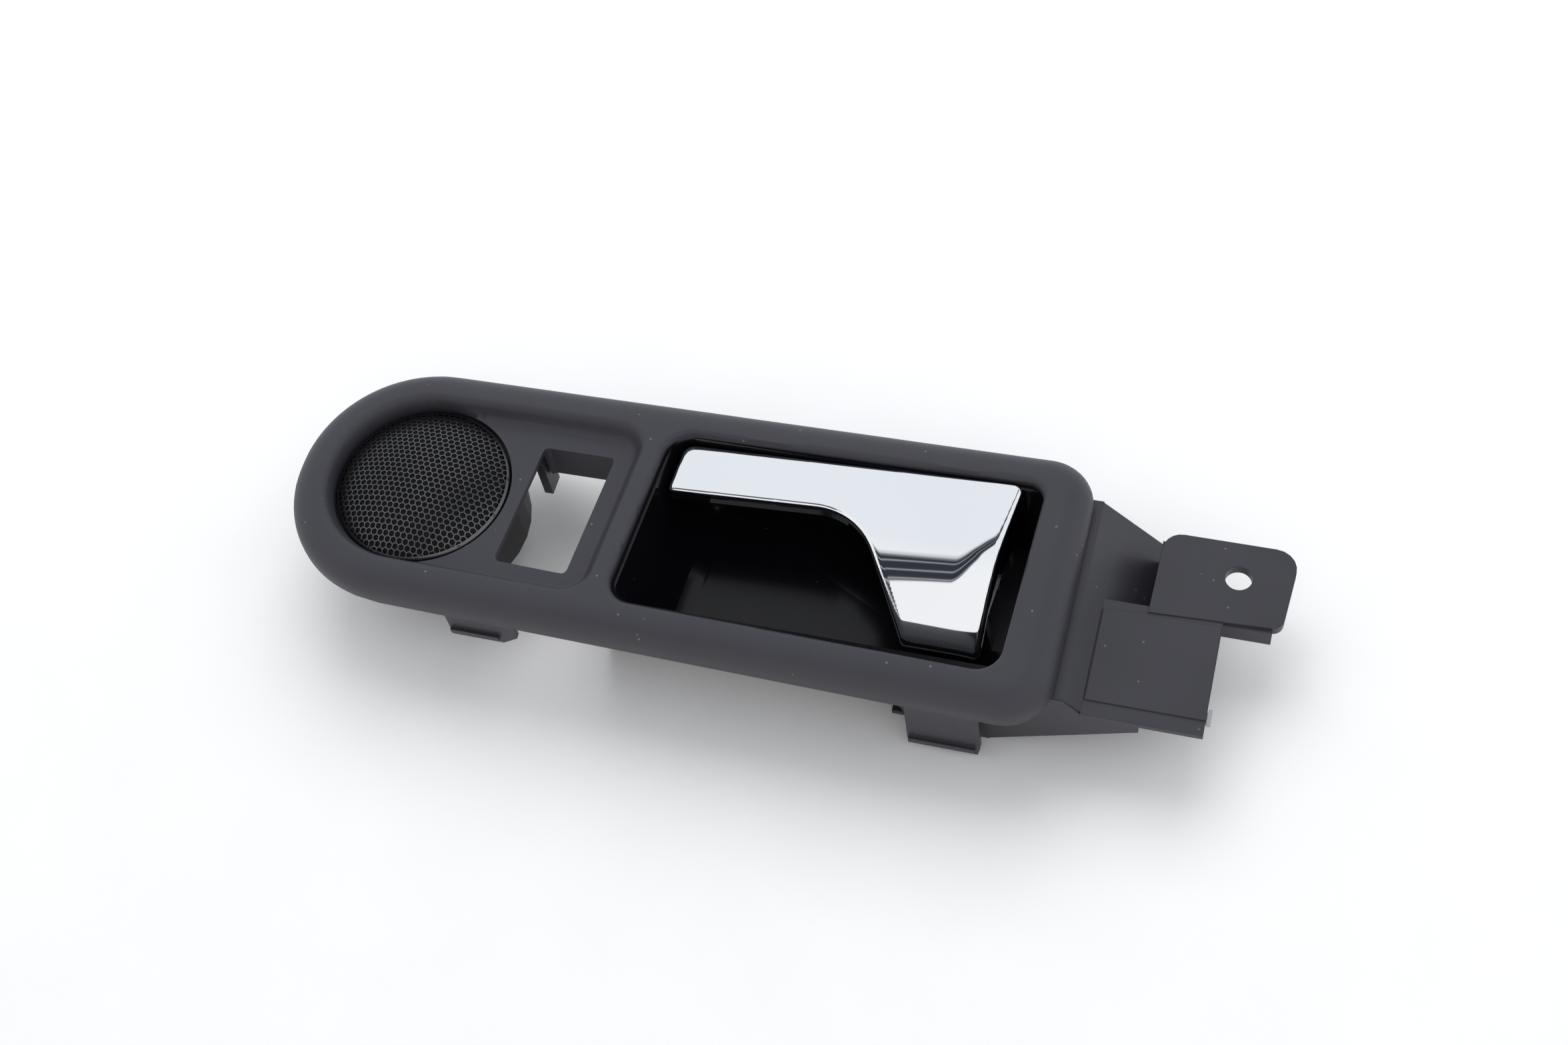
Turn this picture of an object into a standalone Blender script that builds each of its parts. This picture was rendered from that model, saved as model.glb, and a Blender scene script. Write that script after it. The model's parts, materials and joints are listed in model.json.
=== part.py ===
"""Interior car door handle with a tweeter bay, a finger pocket and a hinged pull lever.

Every length below is in millimetres, in the design frame: X runs along the handle from the tweeter
to the screw tab, Y runs across it, Z points out of the door and is 0 on the bezel's face.
The empty named door_handle_origin shifts all of it so that the part stands on z = 0, centred on x and y.
"""

import math

import bmesh
import bpy
from mathutils import Matrix, Vector

MM = 0.001
GAP = 0.3  # clearance between parts that are screwed or clipped together

# Bezel
BEZEL_LEFT = -37.2
BEZEL_RIGHT = 185.4
BEZEL_HALF = 37.2  # half height at the tweeter's centre
BEZEL_TAPER = 0.0163  # growth of the half height along X
BEZEL_DEPTH = 8.0
BEZEL_ROUNDING = 6.0
BEZEL_WALL = 2.2
BEZEL_CORNER = 13.0
BAY_DEPTH = 5.0
BAY_WALL = 1.8
SWITCH_SKIRT_DEPTH = 17.5

# Tweeter, centred on the design origin
GRILLE_RADIUS = 25.0
GRILLE_HOLE = 25.6
GRILLE_RIM_Z = -5.2
GRILLE_SPHERE = 50.0
GRILLE_WALL = 0.9
CUP_RADIUS = 27.0
CUP_TOP_Z = -9.3
CUP_BOTTOM_Z = -25.0
CUP_WALL = 2.0

# Pocket
LINER_TOP_Z = -2.5
LINER_FLOOR_Z = -34.0
LINER_WALL = 1.5
LINER_RIGHT_RADIUS = 3.0  # tight corners, clear of the swinging lever

# Rear housing
FLANGE_TOP_Z = -8.4
FLANGE_THICKNESS = 2.0
BASE_Z = -38.0
WALL = 1.8
SKIRT_LEFT, SKIRT_RIGHT = 56.0, 178.9
SKIRT_NEAR, SKIRT_FAR = -30.0, 33.0
SKIRT_SHALLOW_Z = -19.5  # the near wall is shallow, except beside the hinge
SKIRT_DEEP_X = 148.0
CREASE_X = 187.7
PLATE_TOP_Z = -13.1
PLATE_THICKNESS = 2.2
PAD_STEP = 0.4
BOX_LEFT, BOX_RIGHT = 192.5, 224.2
BOX_NEAR, BOX_FAR = -30.25, 4.8
GUSSET_END = (207.7, -18.6)  # lower right corner of the near gusset, as (x, z)
TAB_RIGHT, TAB_FAR = 241.0, 28.3
TAB_LEFT = 204.6
TAB_HOLE = (226.2, 17.5)
TAB_HOLE_RADIUS = 3.6
CABLE_Y = 1.0

# Lever and hinge
PIVOT_X, PIVOT_Z = 158.0, -17.0
LEVER_TILT = math.radians(-2.6)  # the closed lever slopes down towards its finger end
PIN_RADIUS = 2.0
PIN_NEAR, PIN_FAR = -5.3, 28.0
BARREL_BORE = 2.09
BUSH_RADIUS = 2.7
EAR_BORE = 2.8
BARREL_RADIUS = 4.0
EAR_RADIUS = 3.6
COVER_SKIN = 2.4
COVER_EDGE = 4.5
CORE_TOP_Z, CORE_BOTTOM_Z = -9.4, -12.4
SPRING_RADIUS = 3.6
SPRING_WIRE = 0.55
SPRING_TURNS = 5

# Screws
SCREW_SHANK = 1.2
SCREW_HEAD = 2.0
SCREW_BOSS = 2.3
COVER_SCREWS_X = (138, 150)
COVER_SCREW_Y = 19.5
BEZEL_SCREWS = [(48, -33.4), (112, -34.8), (174, -34.6), (48, 33.4), (112, 35.2), (174, 35.2)]
CUP_SCREW_ANGLES = (100, 180, 260)
CUP_SCREW_CIRCLE = 31.0

COLOURS = {
    "trim": ((0.062, 0.062, 0.08), 0.55, 0.0),
    "gloss": ((0.006, 0.006, 0.008), 0.08, 0.0),
    "chrome": ((0.85, 0.87, 0.9), 0.05, 1.0),
    "plastic": ((0.055, 0.055, 0.065), 0.5, 0.0),
    "black_plastic": ((0.012, 0.012, 0.013), 0.5, 0.0),
    "mesh": ((0.03, 0.03, 0.03), 0.4, 0.8),
    "steel": ((0.45, 0.45, 0.46), 0.3, 1.0),
    "magnet": ((0.05, 0.05, 0.05), 0.6, 0.3),
    "silk": ((0.02, 0.02, 0.025), 0.8, 0.0),
    "rubber": ((0.01, 0.01, 0.01), 0.9, 0.0),
    "natural_plastic": ((0.6, 0.58, 0.52), 0.5, 0.0),
}


# ---------------------------------------------------------------- scene and helpers


def clear_scene():
    for obj in list(bpy.data.objects):
        bpy.data.objects.remove(obj)


def new_collection(name):
    collection = bpy.data.collections.new(name)
    bpy.context.scene.collection.children.link(collection)
    return collection


def material(name, slot):
    colour, roughness, metallic = COLOURS[slot]
    made = bpy.data.materials.new(name)
    made.use_nodes = True
    shader = made.node_tree.nodes["Principled BSDF"]
    shader.inputs["Base Color"].default_value = (*colour, 1.0)
    shader.inputs["Roughness"].default_value = roughness
    shader.inputs["Metallic"].default_value = metallic
    return made


def half_height(x):
    return BEZEL_HALF + BEZEL_TAPER * x


def grown(corners, distance):
    """The corners of a counter-clockwise outline moved outwards by distance, with their radii."""
    count = len(corners)
    points = [Vector(corner[:2]) for corner in corners]
    result = []
    for index in range(count):
        here = points[index]
        before = (here - points[index - 1]).normalized()
        after = (points[(index + 1) % count] - here).normalized()
        outward_before = Vector((before.y, -before.x))
        outward_after = Vector((after.y, -after.x))
        middle = (outward_before + outward_after) / (1 + outward_before.dot(outward_after))
        turn = before.x * after.y - before.y * after.x
        radius = max(0.0, corners[index][2] + math.copysign(distance, distance * turn))
        result.append((*(here + middle * distance), radius))
    return result


def rounded(corners, steps=5):
    """Outline points of a polygon whose (x, y, radius) corners are rounded, steps + 1 points a corner."""
    count = len(corners)
    outline = []
    for index in range(count):
        here = Vector(corners[index][:2])
        before = (Vector(corners[index - 1][:2]) - here).normalized()
        after = (Vector(corners[(index + 1) % count][:2]) - here).normalized()
        radius = corners[index][2]
        if radius <= 0:
            outline.append(tuple(here))
            continue
        half = before.angle(after) / 2
        centre = here + (before + after).normalized() * radius / math.sin(half)
        start = here + before * radius / math.tan(half) - centre
        end = here + after * radius / math.tan(half) - centre
        sweep = start.angle_signed(end)
        for step in range(steps + 1):
            arm = start.copy()
            arm.rotate(Matrix.Rotation(-sweep * step / steps, 2))
            outline.append(tuple(centre + arm))
    return outline


def object_from(name, bm, collection):
    mesh = bpy.data.meshes.new(name)
    bm.to_mesh(mesh)
    bm.free()
    obj = bpy.data.objects.new(name, mesh)
    collection.objects.link(obj)
    return obj


def plate(name, outline, low, high, collection, axis="Z"):
    """A flat outline extruded from low to high along an axis. On Y and X the outline is (x, z) and (y, z)."""
    curve = bpy.data.curves.new(name, "CURVE")
    curve.dimensions = "2D"
    curve.fill_mode = "BOTH"
    curve.extrude = (high - low) / 2 * MM
    spline = curve.splines.new("POLY")
    spline.points.add(len(outline) - 1)
    for point, (u, v) in zip(spline.points, outline):
        point.co = (u * MM, v * MM, 0, 1)
    spline.use_cyclic_u = True
    guide = bpy.data.objects.new(name, curve)
    bpy.context.scene.collection.objects.link(guide)
    graph = bpy.context.evaluated_depsgraph_get()
    mesh = bpy.data.meshes.new_from_object(guide.evaluated_get(graph))
    bpy.data.objects.remove(guide)
    turn = {
        "Z": Matrix.Identity(4),
        "Y": Matrix.Rotation(math.radians(90), 4, "X"),
        "X": Matrix.Rotation(math.radians(90), 4, "Z") @ Matrix.Rotation(math.radians(90), 4, "X"),
    }[axis]
    along = Vector([(low + high) / 2 * MM * (axis == letter) for letter in "XYZ"])
    bm = bmesh.new()
    bm.from_mesh(mesh)
    bmesh.ops.remove_doubles(bm, verts=bm.verts, dist=1e-6)
    bmesh.ops.transform(bm, matrix=Matrix.Translation(along) @ turn, verts=bm.verts)
    bmesh.ops.recalc_face_normals(bm, faces=bm.faces)
    bpy.data.meshes.remove(mesh)
    return object_from(name, bm, collection)


def block(name, low, high, collection):
    bm = bmesh.new()
    bmesh.ops.create_cube(bm, size=1)
    size = [(b - a) * MM for a, b in zip(low, high)]
    middle = [(a + b) / 2 * MM for a, b in zip(low, high)]
    bmesh.ops.transform(bm, matrix=Matrix.LocRotScale(middle, None, size), verts=bm.verts)
    return object_from(name, bm, collection)


def rod(name, start, end, radius, collection, sides=24):
    """A cylinder between two points."""
    start, end = Vector(start) * MM, Vector(end) * MM
    bm = bmesh.new()
    bmesh.ops.create_cone(
        bm, cap_ends=True, segments=sides, radius1=radius * MM, radius2=radius * MM,
        depth=(end - start).length,
    )
    turn = Vector((0, 0, 1)).rotation_difference(end - start).to_matrix().to_4x4()
    bmesh.ops.transform(bm, matrix=Matrix.Translation((start + end) / 2) @ turn, verts=bm.verts)
    return object_from(name, bm, collection)


def turned(name, profile, collection, steps=32):
    """A turned body from a closed (radius, z) profile. Where it meets the axis, it starts and ends there."""
    mesh = bpy.data.meshes.new(name)
    points = [(radius * MM, 0, z * MM) for radius, z in profile]
    on_axis = profile[0][0] == 0
    edges = [(i, i + 1) for i in range(len(points) - 1)]
    if not on_axis:
        edges.append((len(points) - 1, 0))
    mesh.from_pydata(points, edges, [])
    obj = bpy.data.objects.new(name, mesh)
    collection.objects.link(obj)
    screw = obj.modifiers.new("turn", "SCREW")
    screw.steps = screw.render_steps = steps
    screw.use_merge_vertices = True
    screw.merge_threshold = 1e-6
    return obj


def combine(target, operation, pieces):
    for piece in pieces:
        boolean = target.modifiers.new(f"{operation.lower()} {piece.name}", "BOOLEAN")
        boolean.operation = operation
        boolean.object = piece
        piece.hide_render = True
        piece.display_type = "WIRE"


def join(target, *pieces):
    combine(target, "UNION", pieces)


def cut(target, *pieces):
    combine(target, "DIFFERENCE", pieces)


# ---------------------------------------------------------------- outlines, as (x, y, corner radius)

BEZEL = [
    (BEZEL_LEFT, -half_height(BEZEL_LEFT), 36.4),
    (BEZEL_RIGHT, -half_height(BEZEL_RIGHT), BEZEL_CORNER),
    (BEZEL_RIGHT, half_height(BEZEL_RIGHT), BEZEL_CORNER),
    (BEZEL_LEFT, half_height(BEZEL_LEFT), 36.4),
]
POCKET = [(63.2, -27.8, 7), (170.9, -29.3, 7), (172.6, 29.4, 5), (66.6, 27.8, 8)]
BAY = [(-26.8, -26.8, 26.5), (57.6, -27.6, 8), (60.8, 27.4, 8), (-26.8, 26.8, 26.5)]
SWITCH = [(28.2, -20.0, 1.5), (49.4, -20.4, 1.5), (51.9, 18.6, 1.5), (30.8, 18.2, 1.5)]
LEVER = [
    (69.3, 12.0, 1.2),
    (123.9, 13.5, 20),
    (140.9, -15.2, 1.5),
    (162.4, -15.4, 1.5),
    (164.3, 6.0, 40),
    (167.5, 28.3, 2.5),
    (70.9, 27.1, 3.5),
]
TAB = [(TAB_LEFT, BOX_FAR - 2, 0), (TAB_RIGHT - 1.6, BOX_FAR - 0.6, 3), (TAB_RIGHT + 0.2, TAB_FAR, 6),
       (TAB_LEFT + 0.6, TAB_FAR, 5)]
TAB_REACH = max(x for x, _ in rounded(TAB))
FRAME_SHIFT = (-(BEZEL_LEFT + TAB_REACH) / 2, 0.0, -BASE_Z)


def lever_surface(y):
    """Height of the lever's show face across the handle, before it is tilted."""
    if y > 12:
        return -0.8 - 0.0045 * (29 - y) ** 2
    return -2.1 - 0.153 * (12 - y) - 0.018 * (12 - y) ** 2


# ---------------------------------------------------------------- bezel


def make_bezel(parts, cutters):
    """An open-backed cap with a rounded front edge, thinned to a shell, then opened for each bay."""
    bm = bmesh.new()
    outline = [(x * MM, y * MM) for x, y in rounded(BEZEL, 9)]
    top = [bm.verts.new((x, y, 0)) for x, y in outline]
    bottom = [bm.verts.new((x, y, -BEZEL_DEPTH * MM)) for x, y in outline]
    bm.faces.new(top)
    for index in range(len(top)):
        bm.faces.new((bottom[index - 1], bottom[index], top[index], top[index - 1]))
    bezel = object_from("bezel", bm, parts)
    bevel = bezel.modifiers.new("round front edge", "BEVEL")
    bevel.width = BEZEL_ROUNDING * MM
    bevel.segments = 3
    bevel.limit_method = "ANGLE"
    bevel.angle_limit = math.radians(60)
    shell = bezel.modifiers.new("shell", "SOLIDIFY")
    shell.thickness = BEZEL_WALL * MM
    shell.use_even_offset = True
    tub = plate("bay_tub", rounded(grown(BAY, BAY_WALL), 6), -BAY_DEPTH - BAY_WALL, -1.0, cutters)
    skirt = block("switch_skirt", (31, 19.0, -SWITCH_SKIRT_DEPTH), (53, 20.8, -6), cutters)
    bosses = [
        rod(f"bezel_boss_{i}", (x, y, -BEZEL_DEPTH - 0.1), (x, y, -1), SCREW_BOSS, cutters, 12)
        for i, (x, y) in enumerate(BEZEL_SCREWS)
    ]
    join(bezel, tub, skirt, *bosses)
    cup_bosses = [
        rod(f"cup_boss_{i}", (x, y, -BEZEL_DEPTH), (x, y, -1), SCREW_BOSS, cutters, 12)
        for i, (x, y) in enumerate(cup_screw_places())
    ]
    join(bezel, *cup_bosses)
    holes = [
        rod(f"boss_hole_{i}", (x, y, -9), (x, y, -3), SCREW_SHANK + GAP, cutters, 10)
        for i, (x, y) in enumerate(BEZEL_SCREWS + cup_screw_places())
    ]
    cut(
        bezel,
        plate("pocket_cut", rounded(POCKET, 6), -20, 5, cutters),
        plate("bay_cut", rounded(BAY, 6), -BAY_DEPTH, 5, cutters),
        rod("grille_cut", (0, 0, -20), (0, 0, 5), GRILLE_HOLE, cutters, 32),
        plate("switch_cut", rounded(SWITCH, 2), -20, 5, cutters),
        *holes,
    )
    return bezel


# ---------------------------------------------------------------- tweeter


def cup_screw_places():
    return [
        (CUP_SCREW_CIRCLE * math.cos(math.radians(a)), CUP_SCREW_CIRCLE * math.sin(math.radians(a)))
        for a in CUP_SCREW_ANGLES
    ]


def make_grille(parts):
    """A spherical cap with a turned-down rim. Its perforations are left to the finished surface."""
    drop = GRILLE_SPHERE - math.sqrt(GRILLE_SPHERE**2 - GRILLE_RADIUS**2)
    centre_z = GRILLE_RIM_Z + drop - GRILLE_SPHERE
    widest = math.asin(GRILLE_RADIUS / GRILLE_SPHERE)
    angles = [widest * step / 8 for step in range(9)]
    outer = [(GRILLE_SPHERE * math.sin(a), centre_z + GRILLE_SPHERE * math.cos(a)) for a in angles]
    inner_sphere = GRILLE_SPHERE - GRILLE_WALL
    shrink = (GRILLE_RADIUS - GRILLE_WALL) / GRILLE_RADIUS
    inner = [
        (inner_sphere * math.sin(a * shrink), centre_z + inner_sphere * math.cos(a * shrink))
        for a in reversed(angles)
    ]
    rim = [(GRILLE_RADIUS, -7.2), (GRILLE_RADIUS - GRILLE_WALL, -7.2)]
    return turned("grille", outer + rim + inner, parts)


def make_tweeter(parts, cutters):
    made = [make_grille(parts)]
    made.append(turned("grille_ring", [(28.0, -7.5), (28.0, -9.0), (22.8, -9.0), (22.8, -7.5)], parts))
    inner = CUP_RADIUS - CUP_WALL
    cup = turned(
        "tweeter_cup",
        [(CUP_RADIUS, CUP_TOP_Z), (CUP_RADIUS, CUP_BOTTOM_Z), (9, CUP_BOTTOM_Z),
         (9, CUP_BOTTOM_Z + CUP_WALL), (inner, CUP_BOTTOM_Z + CUP_WALL), (inner, CUP_TOP_Z)],
        parts,
    )
    lugs = [
        rod(f"cup_lug_{i}", (x, y, -10.4), (x, y, -8.6), 2.6, cutters, 16)
        for i, (x, y) in enumerate(cup_screw_places())
    ]
    arms = [
        rod(f"cup_arm_{i}", (x * 0.84, y * 0.84, -9.9), (x, y, -9.9), 0.55, cutters, 8)
        for i, (x, y) in enumerate(cup_screw_places())
    ]
    lug_holes = [
        rod(f"lug_hole_{i}", (x, y, -13), (x, y, -8), SCREW_SHANK + GAP, cutters, 10)
        for i, (x, y) in enumerate(cup_screw_places())
    ]
    join(cup, *lugs, *arms)
    cut(cup, *lug_holes)
    made.append(cup)
    made.append(
        turned(
            "tweeter_frame",
            [(24.6, -9.6), (24.6, -12.6), (11.4, -12.6), (11.4, -11.4), (17, -10.6), (22, -9.6)],
            parts,
        )
    )
    dome = [(10.9 * math.sin(a), -12.4 + 3.4 * math.cos(a)) for a in [math.pi / 2 * i / 6 for i in range(7)]]
    made.append(turned("tweeter_dome", dome + [(10.9, -12.7), (0, -12.7)], parts))
    made.append(turned("tweeter_magnet", [(0, -13.0), (13, -13.0), (13, -22.6), (0, -22.6)], parts))
    socket = block("tweeter_socket", (-6, -4, -31), (6, 4, -22.9), parts)
    cut(socket, block("socket_mouth", (-4.5, -2.5, -32), (4.5, 2.5, -26), cutters))
    made.append(socket)
    return made


# ---------------------------------------------------------------- pocket liner


def liner_ring(left, right, near, far, radius, slant=0.0):
    right_radius = LINER_RIGHT_RADIUS
    corners = [
        (left, near, radius), (right, near, right_radius),
        (right, far, right_radius), (left + slant, far, radius),
    ]
    return rounded(corners, 5)


def make_liner(parts, cutters):
    """A deep tray. Its near wall leans in under the bezel, and its right wall clears the lever's swing."""
    levels = [
        (LINER_TOP_Z, liner_ring(63.4, 175.3, -28.6, 29.2, 6.5, 3.2)),
        (-8.2, liner_ring(64.2, 175.3, -25.9, 29.0, 6.5, 2.8)),
        (-20.0, liner_ring(66.5, 175.2, -25.0, 28.6, 7, 2.5)),
        (-28.5, liner_ring(69.5, 174.6, -24.2, 27.8, 8, 2)),
        (-32.6, liner_ring(73.0, 173.2, -22.6, 26.2, 7, 2)),
        (LINER_FLOOR_Z, liner_ring(77.5, 171.0, -19.5, 23.0, 5, 2)),
    ]
    bm = bmesh.new()
    rings = [[bm.verts.new((x * MM, y * MM, z * MM)) for x, y in outline] for z, outline in levels]
    for upper, lower in zip(rings, rings[1:]):
        for index in range(len(upper)):
            bm.faces.new((lower[index - 1], lower[index], upper[index], upper[index - 1]))
    bm.faces.new(rings[-1][::-1])
    liner = object_from("pocket_liner", bm, parts)
    shell = liner.modifiers.new("wall", "SOLIDIFY")
    shell.thickness = LINER_WALL * MM
    shell.offset = 1
    shell.use_even_offset = True
    cut(
        liner,
        block("lever_well", (142, -6.4, -40), (171.5, 27.4, -30), cutters),
        block("cable_gate", (165, CABLE_Y - 3, -32), (180, CABLE_Y + 3, -24), cutters),
    )
    return liner


# ---------------------------------------------------------------- rear housing


def flange_pieces(cutters):
    low, high = FLANGE_TOP_Z - FLANGE_THICKNESS, FLANGE_TOP_Z
    shoulder = block("shoulder", (150, SKIRT_NEAR + 0.2, low), (CREASE_X, 31.8, high), cutters)
    near_side, far_side = (SKIRT_NEAR, SKIRT_NEAR + WALL), (SKIRT_FAR - WALL, SKIRT_FAR)
    top = low + 1
    skirt = [
        block("skirt_near", (SKIRT_LEFT, near_side[0], BASE_Z), (SKIRT_RIGHT, near_side[1], top), cutters),
        block("skirt_far", (SKIRT_LEFT, far_side[0], BASE_Z), (SKIRT_RIGHT, far_side[1], top), cutters),
        block("skirt_left", (SKIRT_LEFT, SKIRT_NEAR, BASE_Z), (SKIRT_LEFT + WALL, SKIRT_FAR, top), cutters),
        block("skirt_right", (SKIRT_RIGHT - WALL, SKIRT_NEAR, BASE_Z), (SKIRT_RIGHT, SKIRT_FAR, top), cutters),
    ]
    return [shoulder, *skirt]


def bracket_pieces(cutters):
    """The slanted web, the box plate, the screw tab and the gussets that carry them."""
    plate_low = PLATE_TOP_Z - PLATE_THICKNESS
    slope = PLATE_TOP_Z - FLANGE_TOP_Z
    near_gusset = [
        (174, BASE_Z + 0.5), (174, -10), (SKIRT_RIGHT - 1, FLANGE_TOP_Z - 0.6),
        (CREASE_X, FLANGE_TOP_Z - 0.2), (CREASE_X - slope, PLATE_TOP_Z - 0.8),
        (GUSSET_END[0], PLATE_TOP_Z - 1),
        GUSSET_END,
    ]
    far_gusset = [
        (SKIRT_RIGHT - 1, -34), (SKIRT_RIGHT - 1, FLANGE_TOP_Z - 1), (CREASE_X, FLANGE_TOP_Z - 0.2),
        (205.2, -26.1), (203, -27.8),
    ]
    web = [
        (CREASE_X, FLANGE_TOP_Z), (205.4, FLANGE_TOP_Z - 17.7), (204.0, FLANGE_TOP_Z - 19.1),
        (CREASE_X - 2.8, FLANGE_TOP_Z - FLANGE_THICKNESS),
    ]
    return [
        plate("near_gusset", near_gusset, SKIRT_NEAR, SKIRT_NEAR + WALL, cutters, "Y"),
        plate("far_gusset", far_gusset, 30.0, 31.6, cutters, "Y"),
        plate("web", web, SKIRT_NEAR + 0.4, 31.3, cutters, "Y"),
        block("box_plate", (BOX_LEFT, BOX_NEAR, plate_low), (BOX_RIGHT, BOX_FAR, PLATE_TOP_Z - PAD_STEP), cutters),
        block("box_pad", (BOX_LEFT + 0.5, -25.9, plate_low + 1), (BOX_RIGHT - 0.1, 1.8, PLATE_TOP_Z), cutters),
        plate("tab", rounded(TAB, 5), PLATE_TOP_Z - 3.0, PLATE_TOP_Z, cutters),
        block("tab_rib", (196, BOX_FAR - WALL, -20), (237, BOX_FAR - 0.2, PLATE_TOP_Z - 1), cutters),
        block("tab_post", (204.8, 3.8, -26.4), (206.6, 26, PLATE_TOP_Z - 1.2), cutters),
        block("cable_fin", (211, CABLE_Y - 6, -27), (213.5, BOX_FAR - 0.5, PLATE_TOP_Z - 1.3), cutters),
        block("box_rib", (198, -16, -20.5), (222, -14.2, PLATE_TOP_Z - 1.1), cutters),
    ]


def hinge_pieces(cutters):
    """The cross beam at the bottom of the housing with the hinge ears and the posts of the stops."""
    pieces = [
        block("hinge_beam", (140.5, SKIRT_NEAR + 1, BASE_Z + 0.3), (168, SKIRT_FAR - 1, BASE_Z + 2), cutters)
    ]
    for name, low, high in (("near", -4.9, -1.7), ("far", 22.2, 25.4)):
        ear = [
            (PIVOT_X + EAR_RADIUS * math.cos(a), PIVOT_Z + EAR_RADIUS * math.sin(a))
            for a in [math.pi * i / 10 for i in range(11)]
        ]
        ear += [(PIVOT_X - EAR_RADIUS - 2, BASE_Z + 1), (PIVOT_X + EAR_RADIUS + 2, BASE_Z + 1)]
        pieces.append(plate(f"ear_{name}", ear, low, high, cutters, "Y"))
    for index, y in enumerate((9, 24)):
        pieces.append(rod(f"stop_post_{index}", (145, y, BASE_Z + 1), (145, y, -20), 3, cutters, 12))
    return pieces


def hook_pieces(cutters):
    """Four snap tabs that hold the handle in the door trim, two along each long side."""
    pieces = []
    for side in (-1, 1):
        for name, left, right, slant, edge, bottom in (
            ("left", 16.5, 36.6, 4.8, 33.0, -24.6),
            ("right", 147.0, 167.0, 0.8, 34.6, -36.4),
        ):
            outline = [(left, bottom), (right - slant, bottom), (right, bottom + 4), (right, -9.4), (left, -9.4)]
            low, high = sorted((side * edge, side * (edge + 1.6)))
            pieces.append(plate(f"hook_{name}_{side}", outline, low, high, cutters, "Y"))
            lip_low, lip_high = sorted((side * (edge + 1.2), side * (edge + 2.6)))
            pieces.append(block(f"lip_{name}_{side}", (left + 0.5, lip_low, bottom + 2.5),
                                (right - slant - 0.5, lip_high, bottom + 4.2), cutters))
    return pieces


def make_housing(parts, cutters):
    low = FLANGE_TOP_Z - FLANGE_THICKNESS
    housing = plate("rear_housing", rounded(grown(BEZEL, -0.8), 7), low, FLANGE_TOP_Z, parts)
    join(housing, *flange_pieces(cutters), *bracket_pieces(cutters))
    rib = block("switch_rib", (27.4, 15.5, -25), (30, 21.5, -9), cutters)
    well = block("flange_well", (SKIRT_LEFT + WALL, SKIRT_NEAR + WALL, -12),
                 (SKIRT_RIGHT - WALL, SKIRT_FAR - WALL, 0), cutters)
    cup_hole = rod("cup_hole", (0, 0, -20), (0, 0, 0), 29.6, cutters, 32)
    switch_hole = block("switch_well", (20, -22.5, -12), (55.0, 22.5, 0), cutters)
    lug_holes = [
        rod(f"lug_clear_{i}", (x, y, -12), (x, y, -8), 3.2, cutters, 16)
        for i, (x, y) in enumerate(cup_screw_places())
    ]
    cut(housing, well, cup_hole, switch_hole, *lug_holes)
    join(housing, rib, *hinge_pieces(cutters), *hook_pieces(cutters))
    join(housing, block("rib_foot", (26.9, 20.5, -10.2), (30.5, 26, -8.6), cutters))
    screw_holes = [
        rod(f"flange_hole_{i}", (x, y, -12), (x, y, -7), SCREW_SHANK + GAP, cutters, 10)
        for i, (x, y) in enumerate(BEZEL_SCREWS)
    ]
    hole_x, hole_y = TAB_HOLE
    deep = BASE_Z - 2
    near_relief = [(50, SKIRT_SHALLOW_Z), (50, deep), (SKIRT_DEEP_X, deep), (SKIRT_DEEP_X - 8, SKIRT_SHALLOW_Z)]
    left_relief = [(SKIRT_NEAR - 1.5, SKIRT_SHALLOW_Z + 0.4), (SKIRT_NEAR - 1.5, deep), (-18.4, deep)]
    past_gusset = GUSSET_END[0] + 1
    under_gusset = [(180, -31.9), (180, -39), (past_gusset, -39), (past_gusset, GUSSET_END[1] + 0.5)]
    cut(
        housing,
        *screw_holes,
        rod("tab_bore", (hole_x, hole_y, -20), (hole_x, hole_y, -10), TAB_HOLE_RADIUS, cutters, 32),
        rod("ear_bore", (PIVOT_X, -8, PIVOT_Z), (PIVOT_X, 28, PIVOT_Z), EAR_BORE, cutters),
        block("cable_slot", (170, CABLE_Y - 3, -33), (210, CABLE_Y + 3, -21.5), cutters),
        block("ferrule_notch", (210, CABLE_Y - 2.5, -28), (215, CABLE_Y + 2.5, -21.5), cutters),
        plate("corner_cut", [(168, -37.6), (168, -39), (183, -39), (183, -30.4)], -31, 34, cutters, "Y"),
        plate("gusset_cut", under_gusset, -31, -24, cutters, "Y"),
        plate("near_relief", near_relief, SKIRT_NEAR - 1, SKIRT_NEAR + WALL + 0.25, cutters, "Y"),
        plate("left_relief", left_relief, SKIRT_LEFT - 1.2, SKIRT_LEFT + WALL + 0.6, cutters, "X"),
    )
    return housing


# ---------------------------------------------------------------- lever


def lever_prism(name, corners, low, high, cutters):
    return plate(name, rounded(corners, 6), low, high, cutters)


def face_band(name, skin, cutters, drop=0.0):
    """A band that follows the show face from side to side, from drop to skin(y) below it."""
    across = [-18 + 47.5 * i / 20 for i in range(21)]
    upper = [(y, lever_surface(y) - drop) for y in across]
    lower = [(y, lever_surface(y) - skin(y)) for y in reversed(across)]
    return plate(name, upper + lower, 60, 180, cutters, "X")


def cover_skin(y):
    return COVER_EDGE if y > 11 else COVER_SKIN


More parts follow.
